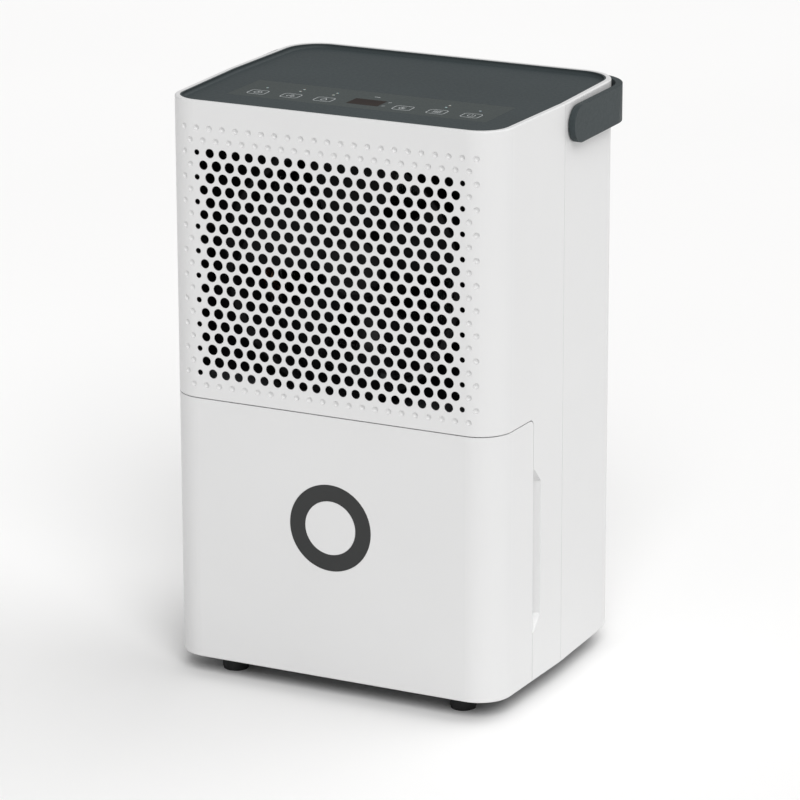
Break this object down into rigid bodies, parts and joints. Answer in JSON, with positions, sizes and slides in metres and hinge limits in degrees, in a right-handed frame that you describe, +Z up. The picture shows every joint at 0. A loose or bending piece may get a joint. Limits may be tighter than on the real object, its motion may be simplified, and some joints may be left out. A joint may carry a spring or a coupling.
{
  "type": "dehumidifier",
  "caption": "Compact compressor dehumidifier: perforated front grille, pull-out water tank with ring window, sunken touch panel and swing-up bail handle.",
  "frame": {"origin": "on the floor under the middle of the bounding box", "axes": "+Z up, front grille faces -Y, +X to the right of someone looking at the front"},
  "size_m": [0.2874, 0.2246, 0.4435],
  "materials": {
    "white_shell": "satin moulded white ABS",
    "slate_plastic": "fine textured slate grey ABS",
    "overlay_film": "slightly green-grey printed film",
    "display_lens": "dark brown tinted window",
    "smoke_ring": "smoked polycarbonate",
    "black_plastic": "black moulded plastic",
    "grey_plastic": "mid grey moulded plastic",
    "black_rubber": "black rubber",
    "zinc_steel": "zinc plated steel",
    "black_paint": "black painted steel",
    "fin_aluminium": "bare aluminium fins",
    "copper": "bare copper tube",
    "circuit_board": "green circuit board",
    "tank_plastic": "natural translucent polypropylene",
    "float_foam": "closed cell foam",
    "filter_cloth": "fine black nylon mesh"
  },
  "bodies": {
    "housing": {"front_housing": "white_shell", "rear_cover": "white_shell", "base_plate": "grey_plastic", "middle_deck": "grey_plastic", "bay_wall": "grey_plastic", "feet": "black_rubber", "foot_pads": "black_rubber", "top_panel": "slate_plastic", "control_overlay": "overlay_film", "display_window": "display_lens", "control_board": "circuit_board", "display_module": "black_plastic", "touch_springs": "zinc_steel", "handle_pins": "zinc_steel", "fan_shroud": "black_plastic", "motor_bracket": "black_paint", "fan_motor": "black_paint", "condenser_fins": "fin_aluminium", "evaporator_fins": "fin_aluminium", "condenser_tube": "copper", "evaporator_tube": "copper", "drip_tray": "grey_plastic", "compressor": "black_paint", "compressor_grommets": "black_rubber", "accumulator": "black_paint", "discharge_pipe": "copper", "suction_pipe": "copper", "liquid_line": "copper", "filter_drier": "copper", "capillary_tube": "copper", "suction_elbow": "copper", "electrical_box": "grey_plastic", "electrical_lid": "grey_plastic", "power_board": "circuit_board", "run_capacitor": "fin_aluminium", "humidity_sensor": "circuit_board", "tank_switch": "black_plastic", "cord_inlet": "black_rubber", "cover_screws": "zinc_steel", "base_screws": "zinc_steel"},
    "tank": {"tank_front": "white_shell", "level_window": "smoke_ring", "window_cap": "white_shell", "tank_bucket": "tank_plastic", "tank_lid": "tank_plastic", "float_pin": "zinc_steel"},
    "float": {"float_arm": "grey_plastic", "float_block": "float_foam", "float_magnet": "zinc_steel"},
    "handle": {"handle": "slate_plastic"},
    "fan": {"fan_rotor": "black_plastic", "rotor_nut": "black_plastic", "motor_shaft": "zinc_steel"},
    "filter": {"filter_frame": "white_shell", "filter_mesh": "filter_cloth"},
    "drain_plug": {"drain_plug": "black_rubber"}
  },
  "joints": [
    {"name": "tank_slide", "type": "slide", "parent": "housing", "child": "tank", "axis": [0, -1, 0], "range_m": [0, 0.11]},
    {"name": "float_lift", "type": "hinge", "parent": "tank", "child": "float", "pos_m": [0.078, -0.03, 0.178], "axis": [-1, 0, 0], "range_deg": [0, 18]},
    {"name": "handle_swing", "type": "hinge", "parent": "housing", "child": "handle", "pos_m": [0, 0.013, 0.4259], "axis": [1, 0, 0], "range_deg": [0, 90]},
    {"name": "fan_spin", "type": "hinge", "parent": "housing", "child": "fan", "pos_m": [0, -0.068, 0.3219], "axis": [0, 1, 0], "continuous": true},
    {"name": "filter_pull", "type": "slide", "parent": "housing", "child": "filter", "axis": [0, 1, 0], "range_m": [0, 0.04]},
    {"name": "plug_pull", "type": "slide", "parent": "housing", "child": "drain_plug", "axis": [0, 1, 0], "range_m": [0, 0.025]}
  ]
}
